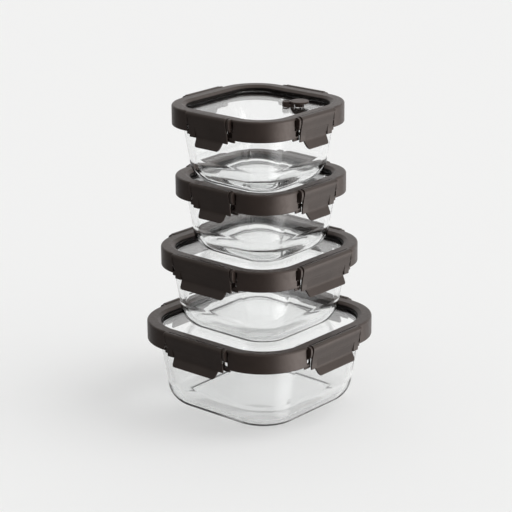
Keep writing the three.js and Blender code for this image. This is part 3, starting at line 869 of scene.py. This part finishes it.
def build_vent_flap(c):
    neck_half = VENT_SLOT_HALF - FIT
    neck_ends = (VENT_AXIS[0], FLAP_CENTRE - FLAP_RADIUS + OVERLAP)
    neck_heights = (VENT_AXIS[1] - NECK_HALF_HEIGHT, VENT_AXIS[1] + NECK_HALF_HEIGHT)
    disc_top = FLAP_BOTTOM + FLAP_THICK
    flap = post(f"{c.name}_vent_disc", FLAP_RADIUS, FLAP_BOTTOM, disc_top, FLAP_CENTRE, FLAP_FILLET)
    for piece in (
        post("plug", PLUG_RADIUS, VENT_SEAT, FLAP_BOTTOM + PLUG_ROOT, FLAP_CENTRE, 0),
        plug_tip(),
        plan_box("neck", neck_ends, neck_half, neck_heights, NECK_FILLET),
        cross_rod("knuckle", KNUCKLE_RADIUS - PIN_SLACK, neck_half),
        cross_rod("pin", VENT_PIN_RADIUS - PIN_SLACK, VENT_PIN_HALF),
    ):
        combine(flap, [piece], "UNION")
    transformed(flap, c.place(c.crest - PANE_DROP) @ vent_turn())
    finish_piece(flap, "vent_flap", "vent_flap", VENT_SILICONE)


# ---- assembly -----------------------------------------------------------------------------------

for container in CONTAINERS:
    build_bowl(container)
    build_pane(container)
    build_frame(container)
    build_gasket(container)
    build_latches(container)
    if container.name == VENTED:
        build_vent_base(container)
        build_vent_flap(container)


# ---- stage, light and camera, in metres -----------------------------------------------------------

FLOOR_SIZE = 14.0
FLOOR_COLOUR = (0.68, 0.68, 0.677)
FLOOR_GLOW = 0.26                   # light bounced back by the white studio, which keeps shadows pale
STUDIO_WHITE = (1, 1, 0.997)
AMBIENT = 0.22
# Soft panels of light round the stage: the way to each, the cosines over which it brightens from
# nothing to full, and its strength. In order: overhead, a broad one on the camera's right, a low
# bright one on the right, and the backdrop.
PANELS = [
    ((0, 0, 1), (0.0, 1.0), 0.4),
    ((0.75, 0.66, 0.0), (0.0, 1.0), 0.75),
    ((0.92, 0.28, -0.25), (0.75, 1.0), 4.1),
    ((-0.64, 0.77, 0.0), (0.5, 1.0), 0.7),
]
KEY_DIRECTION = Vector((0.42, 0.36, 0.9))
KEY_ANGLE = math.radians(34)
KEY_ENERGY = 0.68
CAMERA_TARGET = Vector((0, 0, 0.1495))
CAMERA_AZIMUTH = math.radians(40.84)
CAMERA_ELEVATION = math.radians(17.66)
CAMERA_ROLL = math.radians(-0.5)
CAMERA_DISTANCE = 1.724
CAMERA_LENS = 132.54
CAMERA_SENSOR = 36
CAMERA_NEAR = 0.01
CAMERA_AIM = (-0.00159, -0.00653)   # how far the picture's centre lies from the target, over the distance
LIGHT_BOUNCES = 32                  # light crosses many panes and walls of clear glass


def build_floor():
    half = FLOOR_SIZE / 2
    corners = [(-half, -half, 0), (half, -half, 0), (half, half, 0), (-half, half, 0)]
    floor = mesh_object("studio_floor", corners, [(0, 1, 2, 3)])
    material, _, _, shader = new_material("studio_floor_look")
    shader.inputs["Base Color"].default_value = (*FLOOR_COLOUR, 1)
    shader.inputs["Roughness"].default_value = 1.0
    shader.inputs["Specular IOR Level"].default_value = 0.0
    shader.inputs["Emission Color"].default_value = (*STUDIO_WHITE, 1)
    shader.inputs["Emission Strength"].default_value = FLOOR_GLOW
    floor.data.materials.append(material)
    floor.visible_glossy = False
    floor.visible_diffuse = False


def build_world():
    world = bpy.data.worlds.new("studio_light")
    bpy.context.scene.world = world
    world.use_nodes = True
    nodes, links = world.node_tree.nodes, world.node_tree.links
    direction = nodes.new("ShaderNodeTexCoord").outputs["Generated"]
    total = nodes.new("ShaderNodeValue").outputs[0]
    total.default_value = AMBIENT
    for towards, cosines, strength in PANELS:
        dot = nodes.new("ShaderNodeVectorMath")
        dot.operation = "DOT_PRODUCT"
        dot.inputs[1].default_value = Vector(towards).normalized()
        links.new(direction, dot.inputs[0])
        panel = remap(nodes, links, dot.outputs["Value"], cosines, (0, strength))
        add = nodes.new("ShaderNodeMath")
        add.operation = "ADD"
        links.new(total, add.inputs[0])
        links.new(panel, add.inputs[1])
        total = add.outputs[0]
    background = nodes["Background"]
    links.new(total, background.inputs["Strength"])
    background.inputs["Color"].default_value = (*STUDIO_WHITE, 1)


def build_key_light():
    light = bpy.data.lights.new("key_softbox", "SUN")
    light.angle = KEY_ANGLE
    light.energy = KEY_ENERGY
    key = bpy.data.objects.new("key_softbox", light)
    key.rotation_mode = "QUATERNION"
    key.rotation_quaternion = KEY_DIRECTION.to_track_quat("Z", "Y")
    bpy.context.scene.collection.objects.link(key)


def build_camera():
    camera = bpy.data.objects.new("camera", bpy.data.cameras.new("camera"))
    azimuth, elevation, roll = CAMERA_AZIMUTH, CAMERA_ELEVATION, CAMERA_ROLL
    level = math.cos(elevation)
    back = Vector((math.sin(azimuth) * level, -math.cos(azimuth) * level, math.sin(elevation)))
    right = Vector((math.cos(azimuth), math.sin(azimuth), 0))
    up = back.cross(right)
    turned_right = right * math.cos(roll) + up * math.sin(roll)
    turned_up = up * math.cos(roll) - right * math.sin(roll)
    forward = (-back + turned_right * CAMERA_AIM[0] + turned_up * CAMERA_AIM[1]).normalized()
    side = forward.cross(turned_up).normalized()
    place = Matrix((side, side.cross(forward), -forward)).transposed().to_4x4()
    place.translation = CAMERA_TARGET + back * CAMERA_DISTANCE
    camera.matrix_world = place
    camera.data.lens = CAMERA_LENS
    camera.data.sensor_width = CAMERA_SENSOR
    camera.data.clip_start = CAMERA_NEAR
    bpy.context.scene.collection.objects.link(camera)
    bpy.context.scene.camera = camera


build_floor()
build_world()
build_key_light()
build_camera()
cycles = bpy.context.scene.cycles
cycles.max_bounces = LIGHT_BOUNCES
cycles.transmission_bounces = LIGHT_BOUNCES
cycles.transparent_max_bounces = LIGHT_BOUNCES
bpy.context.scene.view_settings.view_transform = "Standard"
